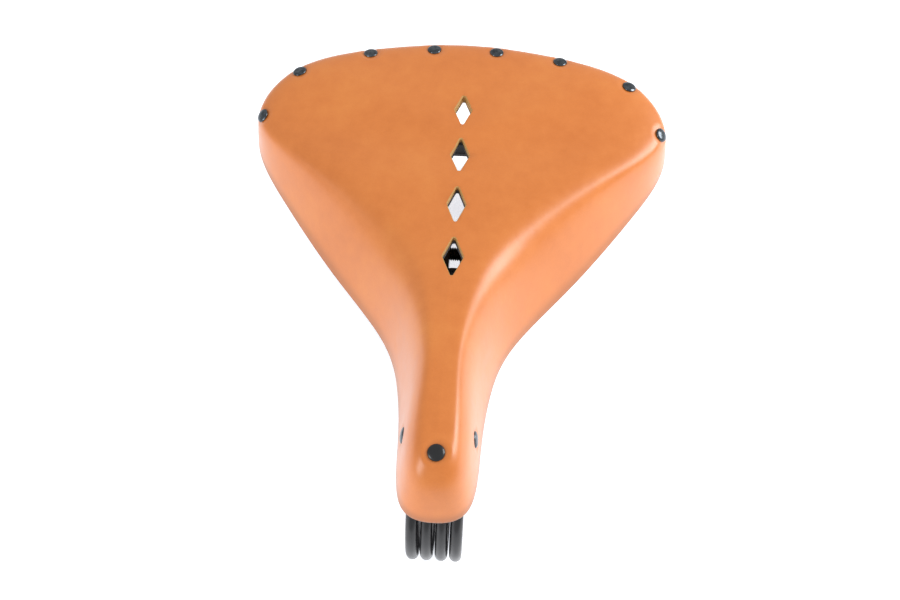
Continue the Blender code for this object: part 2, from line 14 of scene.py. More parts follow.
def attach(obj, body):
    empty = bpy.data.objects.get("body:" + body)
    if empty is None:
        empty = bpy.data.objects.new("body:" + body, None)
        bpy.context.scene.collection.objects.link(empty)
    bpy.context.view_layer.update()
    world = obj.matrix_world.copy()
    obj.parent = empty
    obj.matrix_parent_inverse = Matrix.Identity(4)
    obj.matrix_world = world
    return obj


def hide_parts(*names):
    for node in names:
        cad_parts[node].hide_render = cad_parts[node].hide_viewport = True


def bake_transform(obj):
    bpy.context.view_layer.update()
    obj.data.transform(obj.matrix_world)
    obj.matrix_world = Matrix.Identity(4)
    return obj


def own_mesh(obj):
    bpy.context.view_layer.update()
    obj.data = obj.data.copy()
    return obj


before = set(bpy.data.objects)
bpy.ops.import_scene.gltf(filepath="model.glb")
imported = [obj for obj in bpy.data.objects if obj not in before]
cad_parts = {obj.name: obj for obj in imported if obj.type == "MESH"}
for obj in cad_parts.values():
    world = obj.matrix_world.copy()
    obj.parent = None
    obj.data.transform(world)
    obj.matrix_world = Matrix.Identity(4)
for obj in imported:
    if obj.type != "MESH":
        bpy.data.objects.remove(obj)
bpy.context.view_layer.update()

bl_info = {
    "name": "Leather Saddle",
    "version": (1, 0, 0),
    "blender": (4, 5, 0),
    "location": "View3D > Sidebar > Saddle",
    "description": "Builds the visible surfaces of a sprung leather saddle",
    "category": "Add Mesh",
}

MM = 0.001

# The leather: crown (y, z), shoulder (x, y, z), hem (x, y, z), rear centre to nose tip
STATIONS = np.array([
    (73, 98, 0, 135, 107, 0, 145, 88),
    (71, 98, 58, 127, 106, 62, 138, 86),
    (65, 97, 98, 109, 104, 105, 118, 80),
    (53, 95, 113, 77, 96, 118, 85, 68),
    (33, 94, 80, 43, 93, 99, 49, 57),
    (3, 91, 37, 1, 90, 66, 6, 47),
    (-32, 91, 20, -36, 90, 35, -34, 44),
    (-67, 92, 13, -69, 92, 23.5, -67, 47),
    (-97, 92.6, 13, -97, 92, 20, -100, 54),
    (-112, 91.9, 11, -125, 90, 16, -133, 61),
    (-116, 91.4, 0, -133, 88, 0, -141.5, 62),
], float)
LAST = len(STATIONS) - 1
ROUNDING = np.array((5, 5, 6, 7.5, 9.5, 11, 11, 10, 9, 9, 9), float)
SLOTS = (
    (1.0, 84.4, 4.7, 9.9),
    (0.9, 53.8, 5.0, 10.9),
    (0.8, 20.8, 4.9, 10.9),
    (0.9, -12.5, 5.3, 12.1),
)
REAR_RIVETS = ((0.32, 0.425), (1.0, 0.455), (1.98, 0.49), (2.92, 0.56))
NOSE_RIVETS = {"top": (LAST, 0.1), "right": (8.12, 0.87), "left": (-8.12, 0.87)}

# The wire frame
LOOP_RADIUS = 27.0
LOOP_Y = -114.4
SHACKLE_Y = (-84.0, -66.0)
RAIL_X = 22.0
RAIL_Y = (2.0, 62.0)
TAIL_Y = (90.0, 120.0)
TAIL_Z = 17.7
SPRING = np.array((58.0, 108.0))
GAP = 0.3  # between pieces that touch
PLATE = 2.5  # thickness of the pressed plates
BOLT_Z = 74.0  # height of the tension bolt
CLAMP = np.array((0.0, 40.0, 28.0))  # middle of the clamp's stud
POST_Y = 15.0
GROOVE = 3.3  # radius of a groove or bore for a wire
BORE = 4.3  # radius of a bore for an M8 shank
STUD = 4.0
HEX = 7.5


# Curves and surfaces

def spline(knots, values, at):
    """Natural cubic spline: its second derivatives solve one banded linear system."""
    steps = np.diff(knots)[:, None]
    slopes = np.diff(values, axis=0) / steps
    system = np.eye(len(knots))
    right = np.zeros_like(values)
    for i in range(1, len(knots) - 1):
        before, after = steps[i - 1, 0], steps[i, 0]
        system[i, i - 1:i + 2] = before, 2 * (before + after), after
        right[i] = 6 * (slopes[i] - slopes[i - 1])
    bend = np.linalg.solve(system, right)
    i = np.clip(np.searchsorted(knots, at, side="right") - 1, 0, len(steps) - 1)
    a = ((knots[i + 1] - at) / steps[i, 0])[:, None]
    b = 1 - a
    curved = (a**3 - a) * bend[i] + (b**3 - b) * bend[i + 1]
    return a * values[i] + b * values[i + 1] + curved * steps[i] ** 2 / 6


def basis(share, control, degree=3):
    """Cox and de Boor's weight of one of six control points of a clamped cubic."""
    knots = (0, 0, 0, 0, 1 / 3, 2 / 3, 1, 1, 1, 1)
    low, high = knots[control], knots[control + degree + 1]
    if degree == 0:
        return ((share >= low) & (share < high)).astype(float)
    total = np.zeros_like(share)
    if knots[control + degree] > low:
        rise = (share - low) / (knots[control + degree] - low)
        total += rise * basis(share, control, degree - 1)
    if high > knots[control + 1]:
        fall = (high - share) / (high - knots[control + 1])
        total += fall * basis(share, control + 1, degree - 1)
    return total


def unit(rows):
    """Each vector over its own length."""
    return rows / np.linalg.norm(rows, axis=-1, keepdims=True)


def mirrored(rows):
    """Section rows with the X of the shoulder and of the hem turned over."""
    rows = rows.copy()
    rows[:, (2, 5)] *= -1
    return rows


def sections(station):
    """Crown, shoulder, hem and the shoulder line's direction at stations of the right half."""
    rows = np.vstack([mirrored(STATIONS[2:0:-1]), STATIONS, mirrored(STATIONS[-2:-4:-1])])
    knots = np.arange(-2, LAST + 3, dtype=float)
    read = spline(knots, rows, station)
    ahead = spline(knots, rows, station + 0.01) - spline(knots, rows, station - 0.01)
    crown = np.column_stack([np.zeros(len(read)), read[:, :2]])
    rounding = np.interp(station, knots[2:-2], ROUNDING)
    return crown, read[:, 2:5], read[:, 5:], ahead[:, 2:5], rounding


def eased(start, end, rounding):
    """The point that starts a rounded corner: a length from its start, at most half way."""
    length = np.linalg.norm(end - start, axis=1)
    share = 0.5 * (1 - np.exp(-2 * rounding / length))
    return start + share[:, None] * (end - start)


def skin(station, share, depth=0.0):
    """Cubic B-spline over crown, shoulder and hem; a depth moves those lines inwards."""
    station, share = np.broadcast_arrays(np.asarray(station, float), np.asarray(share, float))
    shape = station.shape
    station, share = station.ravel(), np.clip(share.ravel(), 0, 1 - 1e-9)
    far = np.abs(station)
    side = np.where(station < 0, -1.0, 1.0) * np.where(far > LAST, -1.0, 1.0)
    crown, shoulder, hem, along, rounding = sections(np.where(far > LAST, 2 * LAST - far, far))
    top = unit(np.cross(along, shoulder - crown))
    flank = unit(np.cross(along, hem - shoulder))
    corner = (top + flank) / (1 + np.sum(top * flank, axis=1))[:, None]
    crown = crown - (0, 0, depth)
    shoulder = shoulder - depth * corner
    hem = hem - depth * flank
    controls = (
        crown,
        0.55 * crown + 0.45 * shoulder,
        eased(shoulder, crown, rounding),
        eased(shoulder, hem, rounding),
        0.4 * shoulder + 0.6 * hem,
        hem,
    )
    points = sum(basis(share, k)[:, None] * c for k, c in enumerate(controls))
    points[:, 0] *= side
    return points.reshape(*shape, 3)


def skin_normal(station, share):
    """Cross product of the surface's two derivatives, taken by central differences."""
    station, share = np.broadcast_arrays(np.asarray(station, float), np.asarray(share, float))
    step = 0.01
    inner = np.clip(share, 2 * step, 1 - 2 * step)
    along = skin(station + step, inner) - skin(station - step, inner)
    across = skin(station, inner + step) - skin(station, inner - step)
    normal = np.cross(along, across)
    normal[share < step, 0] = 0
    return unit(normal)


def rivet_places():
    """Name and surface coordinates of each rivet, left to right round the rim."""
    places = {}
    for k, (station, share) in enumerate(REAR_RIVETS):
        places[f"rear_rivet_{4 - k}"] = (-station, share)
        places[f"rear_rivet_{5 + k}"] = (station, share)
    for side, place in NOSE_RIVETS.items():
        places[f"nose_rivet_{side}"] = place
    return places


def placed(points, at, up=(0, 0, 1)):
    """Points turned so that local Z lies along a direction, then moved to a place."""
    turn = np.array(Vector((0, 0, 1)).rotation_difference(Vector(up)).to_matrix())
    return points @ turn.T + np.asarray(at, float)


def ringed(name, rings, finish, wrap=False):
    """A closed mesh through rows of points: capped at both ends, or joined last to first."""
    count, sides = rings.shape[:2]
    rows = count if wrap else count - 1
    a = (np.arange(rows)[:, None] * sides + np.arange(sides)).ravel()
    b = (np.arange(rows)[:, None] * sides + (np.arange(sides) + 1) % sides).ravel()
    total = count * sides
    quads = np.column_stack([a, b, (b + sides) % total, (a + sides) % total])
    faces = quads.tolist()
    if not wrap:
        faces.append(list(range(sides))[::-1])
        faces.append(list(range(total - sides, total)))
    mesh = bpy.data.meshes.new(name)
    mesh.from_pydata((rings.reshape(-1, 3) * MM).tolist(), [], faces)
    return finish_mesh(name, mesh, finish)


def finish_mesh(name, mesh, *finishes, angle=38):
    """Faces outwards, smooth shading with crisp corners, and one object in the scene."""
    corners = np.empty(len(mesh.vertices) * 3)
    mesh.vertices.foreach_get("co", corners)
    mesh.calc_loop_triangles()
    order = np.empty(len(mesh.loop_triangles) * 3, int)
    mesh.loop_triangles.foreach_get("vertices", order)
    if np.linalg.det(corners.reshape(-1, 3)[order.reshape(-1, 3)]).sum() < 0:
        mesh.flip_normals()
    mesh.shade_smooth()
    mesh.set_sharp_from_angle(angle=math.radians(angle))
    for finish in filter(None, finishes):
        mesh.materials.append(finish)
    made = bpy.data.objects.new(name, mesh)
    bpy.context.scene.collection.objects.link(made)
    return made


def turned(profile, sides=64):
    """Rings of a surface of revolution: radius times (cos, sin), at each height."""
    profile = np.asarray(profile, float)
    angle = np.linspace(0, 2 * math.pi, sides, endpoint=False)
    circle = np.column_stack([np.cos(angle), np.sin(angle)])
    rings = np.empty((len(profile), sides, 3))
    rings[:, :, :2] = np.maximum(profile[:, 0], 1e-3)[:, None, None] * circle
    rings[:, :, 2] = profile[:, 1][:, None]
    return rings


def tube(path, radius, across, sides=24):
    """Circles round a path, in the plane of two vectors square to its direction."""
    along = unit(np.gradient(path, axis=0))
    first = unit(np.cross(along, across))
    second = np.cross(along, first)
    angle = np.linspace(0, 2 * math.pi, sides, endpoint=False)
    radius = np.broadcast_to(radius, len(path))[:, None, None]
    circle = np.cos(angle)[:, None] * first[:, None] + np.sin(angle)[:, None] * second[:, None]
    return path[:, None] + radius * circle


def rounded_tube(path, radius, across, sides=24):
    """A tube whose ends close in a small rounded edge."""
    start, end = unit(path[0] - path[1]), unit(path[-1] - path[-2])
    lift = np.array((0.6, 0.42, 0.0)) * 0.9
    narrow = np.array((0.55, 0.82, 1.0))
    head = path[0] + lift[:, None] * start
    tail = path[-1] + lift[::-1][:, None] * end
    whole = np.vstack([head, path[1:-1], tail])
    sizes = np.concatenate([narrow, np.ones(len(path) - 2), narrow[::-1]]) * radius
    return tube(whole, sizes, np.broadcast_to(across, whole.shape), sides)


# Materials

def linear(code):
    """Linear colour of an sRGB hex code."""
    parts = np.array([int(code[k:k + 2], 16) for k in (0, 2, 4)]) / 255
    low = parts <= 0.04045
    return (*np.where(low, parts / 12.92, ((parts + 0.055) / 1.055) ** 2.4), 1.0)


def node(tree, kind, inputs=None, **settings):
    """Adds a node, with its settings, and fills or links its inputs."""
    made = tree.nodes.new(kind)
    for key, value in settings.items():
        setattr(made, key, value)
    for key, value in (inputs or {}).items():
        socket = made.inputs[key]
        if isinstance(value, bpy.types.NodeSocket):
            tree.links.new(value, socket)
        else:
            socket.default_value = value
    return made


def new_material(name):
    """A material with a bare Principled shader, and its tree, shader and coordinates."""
    made = bpy.data.materials.new(name)
    made.use_nodes = True
    tree = made.node_tree
    coords = node(tree, "ShaderNodeTexCoord").outputs["Object"]
    return made, tree, tree.nodes["Principled BSDF"], coords


def ramp(tree, value, *stops):
    """Blends colours by a value; each stop is a position and a hex code."""
    made = node(tree, "ShaderNodeValToRGB", {"Fac": value})
    points = made.color_ramp.elements
    while len(points) < len(stops):
        points.new(0.5)
    for point, (place, code) in zip(points, stops):
        point.position = place
        point.color = linear(code)
    return made.outputs["Color"]


def noise(tree, coords, size_mm, detail=4.0, roughness=0.55, distortion=0.0):
    """Noise whose features are about a size in millimetres."""
    inputs = {
        "Vector": coords,
        "Scale": 1 / (size_mm * MM),
        "Detail": detail,
        "Roughness": roughness,
        "Distortion": distortion,
    }
    return node(tree, "ShaderNodeTexNoise", inputs).outputs["Fac"]


def math_node(tree, operation, *values, clamp=False):
    """One arithmetic node over sockets and numbers."""
    made = node(tree, "ShaderNodeMath", operation=operation, use_clamp=clamp)
    for socket, value in zip(made.inputs, values):
        if isinstance(value, bpy.types.NodeSocket):
            tree.links.new(value, socket)
        else:
            socket.default_value = value
    return made.outputs[0]


def remap(tree, value, low, high, new_low, new_high):
    """A value carried in proportion from one span to another."""
    inputs = {"Value": value, "From Min": low, "From Max": high, "To Min": new_low, "To Max": new_high}
    return node(tree, "ShaderNodeMapRange", inputs).outputs["Result"]


def bump(tree, height, depth_mm, strength=1.0, under=None):
    """A normal tilted by a height, over a depth in millimetres."""
    inputs = {"Height": height, "Distance": depth_mm * MM, "Strength": strength}
    if under:
        inputs["Normal"] = under
    return node(tree, "ShaderNodeBump", inputs).outputs["Normal"]


def mix(tree, share, first, second, blend="MIX"):
    """Two colours blended by a share."""
    made = node(tree, "ShaderNodeMix", data_type="RGBA", blend_type=blend)
    for key, value in ((0, share), (6, first), (7, second)):
        socket = made.inputs[key]
        if isinstance(value, bpy.types.NodeSocket):
            tree.links.new(value, socket)
        else:
            socket.default_value = value
    return made.outputs[2]


def saddle_leather():
    """Vegetable-tanned butt leather, waxed: even honey colour, fine pores, burnished edges."""
    made, tree, shader, coords = new_material("waxed_saddle_leather")
    colours = bpy.context.scene.saddle_colours
    cloud = noise(tree, coords, 45, 3)
    mottle = noise(tree, coords, 7, 5, 0.6)
    speckle = noise(tree, coords, 0.8, 3, 0.65)
    tone = math_node(tree, "MULTIPLY_ADD", mottle, 0.3, math_node(tree, "MULTIPLY", cloud, 0.5))
    tone = math_node(tree, "MULTIPLY_ADD", speckle, 0.2, tone)
    stops = ((0.36, colours.leather_dark), (0.52, colours.leather), (0.68, colours.leather_light))
    body = ramp(tree, tone, *stops)
    burnish = node(tree, "ShaderNodeAttribute", attribute_name="burnish").outputs["Fac"]
    worn = math_node(tree, "MULTIPLY", burnish, remap(tree, mottle, 0.3, 0.7, 0.75, 1.1), clamp=True)
    body = mix(tree, worn, body, linear(colours.leather_burnished))
    tree.links.new(body, shader.inputs["Base Color"])
    pores = node(tree, "ShaderNodeTexVoronoi", {"Vector": coords, "Scale": 1 / (0.9 * MM)},
                 feature="SMOOTH_F1").outputs["Distance"]
    grain = noise(tree, coords, 0.5, 3, 0.6)
    fine = bump(tree, math_node(tree, "MULTIPLY_ADD", grain, 0.5, pores), 0.035, 0.5)
    tree.links.new(bump(tree, noise(tree, coords, 9, 3), 0.35, 0.3, fine), shader.inputs["Normal"])
    tree.links.new(remap(tree, mottle, 0.3, 0.7, 0.33, 0.42), shader.inputs["Roughness"])
    shader.inputs["IOR"].default_value = 1.48
    shader.inputs["Specular IOR Level"].default_value = 0.5
    shader.inputs["Coat Weight"].default_value = 0.35
    shader.inputs["Coat Roughness"].default_value = 0.3
    shader.inputs["Sheen Weight"].default_value = 0.22
    shader.inputs["Sheen Roughness"].default_value = 0.35
    return made


def flesh_side():
    """The unfinished inner face of the hide: paler, fibrous and matt."""
    made, tree, shader, coords = new_material("rough_flesh_side")
    colours = bpy.context.scene.saddle_colours
    fibre = noise(tree, coords, 1.2, 6, 0.7, 0.6)
    body = ramp(tree, fibre, (0.3, colours.flesh_dark), (0.7, colours.flesh))
    tree.links.new(body, shader.inputs["Base Color"])
    tree.links.new(bump(tree, fibre, 0.2, 0.7), shader.inputs["Normal"])
    shader.inputs["Roughness"].default_value = 0.85
    return made


def cut_edge():
    """The cut face of the leather: bare tan fibres in layers, darkened by painted shade away from the grain
    side, down into the slot.
    """
    made, tree, shader, coords = new_material("cut_leather_edge_painted_shade")
    colours = bpy.context.scene.saddle_colours
    stretch = node(tree, "ShaderNodeMapping", {"Vector": coords, "Scale": (1, 1, 5)}).outputs[0]
    fibre = noise(tree, stretch, 1.6, 5, 0.65)
    depth = node(tree, "ShaderNodeAttribute", attribute_name="depth").outputs["Fac"]
    layer = math_node(tree, "MULTIPLY_ADD", math_node(tree, "SUBTRACT", fibre, 0.5), 0.3, depth)
    # Painted shade: the slot walls go from the tan edge colour to near black with depth into the slot.
    body = ramp(tree, layer, (0.0, colours.edge), (0.3, colours.edge), (0.62, colours.edge_painted_shade))
    tree.links.new(body, shader.inputs["Base Color"])
    tree.links.new(bump(tree, fibre, 0.15, 0.6), shader.inputs["Normal"])
    shader.inputs["Roughness"].default_value = 0.62
    return made


def black_enamel():
    """Stoved black enamel on steel: near black, satin, with a slight orange peel."""
    made, tree, shader, coords = new_material("stoved_black_enamel")
    colours = bpy.context.scene.saddle_colours
    peel = noise(tree, coords, 1.4, 2)
    body = ramp(tree, noise(tree, coords, 12, 4), (0.3, colours.enamel), (0.75, colours.enamel_worn))
    tree.links.new(body, shader.inputs["Base Color"])
    tree.links.new(bump(tree, peel, 0.02, 0.35), shader.inputs["Normal"])
    tree.links.new(remap(tree, noise(tree, coords, 5, 4), 0.3, 0.7, 0.28, 0.4), shader.inputs["Roughness"])
    shader.inputs["Coat Weight"].default_value = 0.2
    shader.inputs["Coat Roughness"].default_value = 0.12
    return made


def blued_steel():
    """Pressed steel rivets, blued and oiled: a dark bluish metal with fine rub marks."""
    made, tree, shader, coords = new_material("blued_rivet_steel")
    colours = bpy.context.scene.saddle_colours
    tone = noise(tree, coords, 2.5, 4)
    body = ramp(tree, tone, (0.3, colours.rivet_dark), (0.7, colours.rivet))
    tree.links.new(body, shader.inputs["Base Color"])
    shader.inputs["Metallic"].default_value = 1.0
    tree.links.new(remap(tree, noise(tree, coords, 1.1, 4), 0.3, 0.7, 0.16, 0.3), shader.inputs["Roughness"])
    tree.links.new(bump(tree, tone, 0.03, 0.3), shader.inputs["Normal"])
    return made


def zinc_plate():
    """Bright zinc on steel fastenings: pale grey metal, brushed by handling."""
    made, tree, shader, coords = new_material("zinc_plated_steel")
    colours = bpy.context.scene.saddle_colours
    tone = noise(tree, coords, 3.5, 5)
    body = ramp(tree, tone, (0.3, colours.zinc_dark), (0.7, colours.zinc))
    tree.links.new(body, shader.inputs["Base Color"])
    shader.inputs["Metallic"].default_value = 1.0
    tree.links.new(remap(tree, noise(tree, coords, 1.4, 4), 0.3, 0.7, 0.26, 0.42), shader.inputs["Roughness"])
    tree.links.new(bump(tree, tone, 0.03, 0.3), shader.inputs["Normal"])
    return made


def look(name, make):
    """The material of this name, made the first time it is asked for."""
    return bpy.data.materials.get(name) or make()


def enamel():
    """The enamel that every black piece shares."""
    return look("stoved_black_enamel", black_enamel)


def zinc():
    """The plating that every bright fastening shares."""
    return look("zinc_plated_steel", zinc_plate)


# The leather top

def lozenge(half_x, half_y, offset):
    """A rhombus grown by a radius: straight sides joined by arcs round its four corners."""
    radius = 0.9
    a, b = half_x - radius, half_y - radius
    tip = math.degrees(math.atan2(a, b))
    corners = ((a, 0, -tip, tip), (0, b, tip, 180 - tip), (-a, 0, 180 - tip, 180 + tip),
               (0, -b, 180 + tip, 360 - tip))
    arcs = []
    for x, y, start, end in corners:
        angle = np.radians(np.linspace(start, end, 9))
        arcs.append(np.column_stack([x + (radius + offset) * np.cos(angle),
                                     y + (radius + offset) * np.sin(angle)]))
    outline = []
    for corner, after in zip(arcs, arcs[1:] + arcs[:1]):
        side = np.linspace(corner[-1], after[0], 8)[1:-1]
        outline += [corner, side]
    return np.vstack(outline)


def slot_cutters(crown_points, finish):
    """One bar for each slot, whose mouth flares by a quarter circle as it meets the top."""
    lip = 0.45
    turn = np.radians(np.linspace(0, 90, 6))
    levels = [(3.0, lip + 0.5), (0.02, lip + 0.02)]
    levels += [(-lip * (1 - math.cos(t)), lip * (1 - math.sin(t))) for t in turn[1:]]
    levels += [(-9.0, 0.0)]
    meshes = []
    for x, y, half_x, half_y in SLOTS:
        flat = lozenge(half_x, half_y, 0.0) + (x, y)
        away = np.linalg.norm(crown_points[None, :, :2] - flat[:, None], axis=2)
        height = crown_points[away.argmin(axis=1), 2]
        rings = np.stack([np.column_stack([lozenge(half_x, half_y, grow) + (x, y), height + rise])
                          for rise, grow in levels])
        meshes.append(ringed(f"slot_bar_{y:.0f}", rings, finish))
    return meshes


def leather_rings(columns=460):
    """Rows from the outer crown over the hem's rounded lip to the inner crown.

    Each rivet sits in a dish: a flat-bottomed bell curve of its distance, less a thin
    raised ring round it. Also gives how rubbed each row is, and where the inside starts.
    """
    station = np.linspace(-LAST, LAST, columns, endpoint=False)[None]
    thickness = bpy.context.scene.saddle_sizes.leather / MM
    share = np.linspace(0, 1, 78)[:, None] * 0.995
    outer = skin(station, share)
    normal = skin_normal(station, share)
    for place in rivet_places().values():
        centre = skin(np.array([place[0]]), np.array([place[1]]))[0]
        away = np.linalg.norm(outer - centre, axis=2)
        sunk = 0.75 * np.exp(-((away / 4.9) ** 4)) - 0.12 * np.exp(-(((away - 6.6) / 1.4) ** 2))
        outer = outer - sunk[..., None] * normal
    inner = skin(station, np.linspace(0.995, 0, 30)[:, None], thickness)
    turn = np.linspace(0, math.pi, 11)[1:-1, None, None]
    middle, half = (outer[-1] + inner[0]) / 2, (outer[-1] - inner[0]) / 2
    down = unit(outer[-1] - outer[-3])
    across = np.sign(np.cos(turn)) * np.abs(np.cos(turn)) ** 0.55
    rim = middle + across * half + 1.3 * np.sin(turn) ** 0.55 * down
    rubbed = np.concatenate([
        0.45 * np.exp(-(((1 - share[:, 0] / 0.995) / 0.03) ** 2)),
        np.full(len(rim), 0.75),
        np.zeros(len(inner)),
    ])
    return np.concatenate([outer, rim, inner]), outer, rubbed, len(outer) + len(rim) - 1


def leather_mesh():
    """The shell's quads; the first and last rows meet themselves along the middle line."""
    rings, outer, rubbed, inside = leather_rings()
    rows, columns = rings.shape[:2]
    index = np.arange(rows * columns).reshape(rows, columns)
    partner = (columns - np.arange(columns)) % columns
    for row in (0, rows - 1):
        index[row] = np.minimum(index[row], index[row][partner])
    ahead = np.roll(index, -1, axis=1)
    quads = np.stack([index[:-1], ahead[:-1], ahead[1:], index[1:]], axis=-1)
    flesh = np.broadcast_to(np.arange(rows - 1)[:, None] >= inside, quads.shape[:2]).ravel()
    used, faces = np.unique(quads.reshape(-1, 4), return_inverse=True)
    points = rings.reshape(-1, 3)[used]
    points[np.abs(points[:, 0]) < 1e-6, 0] = 0
    mesh = bpy.data.meshes.new("leather_top_fine")
    mesh.from_pydata((points * MM).tolist(), [], faces.reshape(-1, 4).tolist())
    mesh.polygons.foreach_set("material_index", flesh.astype(np.int32))
    corner = np.empty(len(mesh.loops), int)
    mesh.loops.foreach_get("vertex_index", corner)
    shade = np.repeat(rubbed, columns)[used][corner]
    mesh.attributes.new("burnish", "FLOAT", "CORNER").data.foreach_set("value", shade)
    return mesh, outer


def rubbed_marks(points):
    """How rubbed the leather is round each slot and in the dish of each rivet."""
    shade = np.zeros(len(points))
    for x, y, half_x, half_y in SLOTS:
        slope = half_y / half_x
        beyond = slope * np.abs(points[:, 0] - x) + np.abs(points[:, 1] - y) - half_y
        shade += 0.3 * np.exp(-np.clip(beyond / math.hypot(slope, 1), 0, None) / 0.6)
    for place in rivet_places().values():
        centre = skin(np.array([place[0]]), np.array([place[1]]))[0]
        away = np.linalg.norm(points - centre, axis=1)
        shade += 0.15 * np.exp(-((away - 4.2) / 0.8) ** 2)
    return shade


def make_leather():
    """Shell, slots cut through it, then the rubbed marks that the leather's colour reads."""
    mesh, outer = leather_mesh()
    flesh = look("rough_flesh_side", flesh_side)
    top = finish_mesh("leather_top_blank", mesh, look("waxed_saddle_leather", saddle_leather), flesh)
    cutters = slot_cutters(outer.reshape(-1, 3), look("cut_leather_edge_painted_shade", cut_edge))
    for cutter in cutters:
        cut = top.modifiers.new(cutter.name, "BOOLEAN")
        cut.object = cutter
        cut.operation = "DIFFERENCE"
        cut.material_mode = "TRANSFER"
    graph = bpy.context.evaluated_depsgraph_get()
    done = bpy.data.meshes.new_from_object(top.evaluated_get(graph))
    for thing in [top, *cutters]:
        bpy.data.objects.remove(thing, do_unlink=True)
    points = np.empty(len(done.vertices) * 3)
    done.vertices.foreach_get("co", points)
    corner = np.empty(len(done.loops), int)
    done.loops.foreach_get("vertex_index", corner)
    shade = np.empty(len(done.loops))
    done.attributes["burnish"].data.foreach_get("value", shade)
    shade += rubbed_marks(points.reshape(-1, 3) / MM)[corner]
    done.attributes["burnish"].data.foreach_set("value", np.clip(shade, 0, 1))
    # How far each point lies below the crown, in leather thicknesses; the cut edge's material turns it into
    # painted shade down the slot walls.
    points = points.reshape(-1, 3) / MM
    crown = outer[0][np.argsort(outer[0][:, 1])]
    below = np.interp(points[:, 1], crown[:, 1], crown[:, 2]) - points[:, 2]
    thickness = bpy.context.scene.saddle_sizes.leather / MM
    done.attributes.new("depth", "FLOAT", "POINT").data.foreach_set("value", np.clip(below / thickness, 0, 1))
    done.name = "saddle_leather"
    made = bpy.data.objects.new("saddle_leather", done)
    bpy.context.scene.collection.objects.link(made)
    done.shade_smooth()
    done.set_sharp_from_angle(angle=math.radians(40))
    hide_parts("leather_top")
    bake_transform(made)


# Rivets, wires and springs

def make_rivets():
    """Low domes with a thin rolled edge round a flat, each with its shank and clenched tail."""
    size = bpy.context.scene.saddle_sizes.rivet / MM
    blued = look("blued_rivet_steel", blued_steel)
    height = 1.15
    angle = np.radians(np.linspace(0, 90, 12))
    dome = [(size * math.cos(t) ** 0.9, -0.3 + height * math.sin(t)) for t in angle]
    edge = [(0.0, -9.9), (2.4, -9.9), (2.9, -9.4), (2.9, -8.7), (2.0, -8.7), (2.0, -0.7),
            (size - 0.35, -0.7), (size, -0.4)]
    rings = turned(edge + dome)
    for name, (station, share) in rivet_places().items():
        at = skin(np.array([station]), np.array([share]))[0]
        up = skin_normal(np.array([station]), np.array([share]))[0]
        # Painted shade: the nose-top rivet takes the black enamel, darker than the blued rivets, standing in
        # for the dark surroundings its top reflects.
        finish = enamel() if name.endswith("_top") else blued
        made = ringed(f"{name}_dome", placed(rings, at, up), finish)
        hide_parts(name)
        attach(made, "nose" if "nose" in name else "seat")


def bend(start, end, reach, steps):
    """A cubic Bezier that leaves and arrives along Y."""
    start, end, along = Vector(start), Vector(end), Vector((0, reach, 0))
    return [tuple(p) for p in interpolate_bezier(start, start + along, end - along, end, steps)]


def wire_route(start_x, rail_z, tail_x):
    """Straight in the shackle, half a circle, an S up to the rail, the rail, an S out."""
    wire = bpy.context.scene.saddle_sizes.wire / MM
    centre = wire + LOOP_RADIUS
    top = centre + LOOP_RADIUS
    loop = [(start_x, y, top) for y in np.linspace(SHACKLE_Y[1] + 3, LOOP_Y + 4, 12)]
    for angle in np.radians(np.linspace(90, 270, 49)):
        y = LOOP_Y + LOOP_RADIUS * math.cos(angle)
        loop.append((start_x, y, centre + LOOP_RADIUS * math.sin(angle)))
    middle = bend((start_x, LOOP_Y, wire), (RAIL_X, RAIL_Y[0], rail_z), 55, 60)
    flare = bend((RAIL_X, RAIL_Y[1], rail_z), (tail_x, TAIL_Y[0], TAIL_Z), 14, 40)
    rail = [(RAIL_X, y, rail_z) for y in np.linspace(*RAIL_Y, 8)[1:-1]]
    tail = [(tail_x, y, TAIL_Z) for y in np.linspace(*TAIL_Y, 6)[1:]]
    return np.array(loop + middle[1:] + rail + flare + tail)


def make_wires():
    """Four round spring-steel wires, each with its front loop."""
    wire = bpy.context.scene.saddle_sizes.wire / MM
    routes = {
        "outer": wire_route(10.3, 18.0, SPRING[0] + 8),
        "inner": wire_route(3.5, 38.0, SPRING[0] - 8),
    }
    for which, route in routes.items():
        for side, word in ((1, "right"), (-1, "left")):
            rings = rounded_tube(route * (side, 1, 1), wire, np.array((1.0, 0, 0)), 28)
            made = ringed(f"frame_wire_{which}_{word}", rings, enamel())
            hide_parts(f"wire_{which}_{word}")
            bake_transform(made)


def coil_path(low, high, side):
    """A helix of five and a half turns whose first and last turns lie nearly flat."""
    share = np.linspace(0, 1, 420)
    turns = 5.5
    flat = 0.16
    eased = np.clip((share - flat) / (1 - 2 * flat), 0, 1)
    eased = 0.5 * (eased * eased * (3 - 2 * eased)) + 0.5 * eased
    rise = 0.11 * (np.clip(share / flat, 0, 1) + np.clip((share - 1 + flat) / flat, 0, 1)) + 0.78 * eased
    angle = 2 * math.pi * turns * share
    x = side * (SPRING[0] + 18.0 * np.cos(angle))
    y = SPRING[1] + 18.0 * np.sin(angle)
    return np.column_stack([x, y, low + (high - low) * rise]), angle


def make_springs():
    """Both compression coils under the rear of the saddle."""
    for side, word in ((1, "right"), (-1, "left")):
        path, angle = coil_path(29.6, 76.9, side)
        outward = np.column_stack([side * np.cos(angle), np.sin(angle), np.zeros(len(angle))])
        whole = tube(path, 2.5, outward, 20)
        made = ringed(f"coil_spring_{word}", whole, enamel())
        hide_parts(f"rear_spring_{word}")
        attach(made, "undercarriage")
        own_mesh(made)


# Plates, blocks and fastenings

def arc(centre, radius, start, end, steps=24):
    """Points of a circle between two angles: centre plus radius times (cos, sin)."""
    angle = np.radians(np.linspace(start, end, steps + 1))
    return np.column_stack([np.cos(angle), np.sin(angle)]) * radius + centre


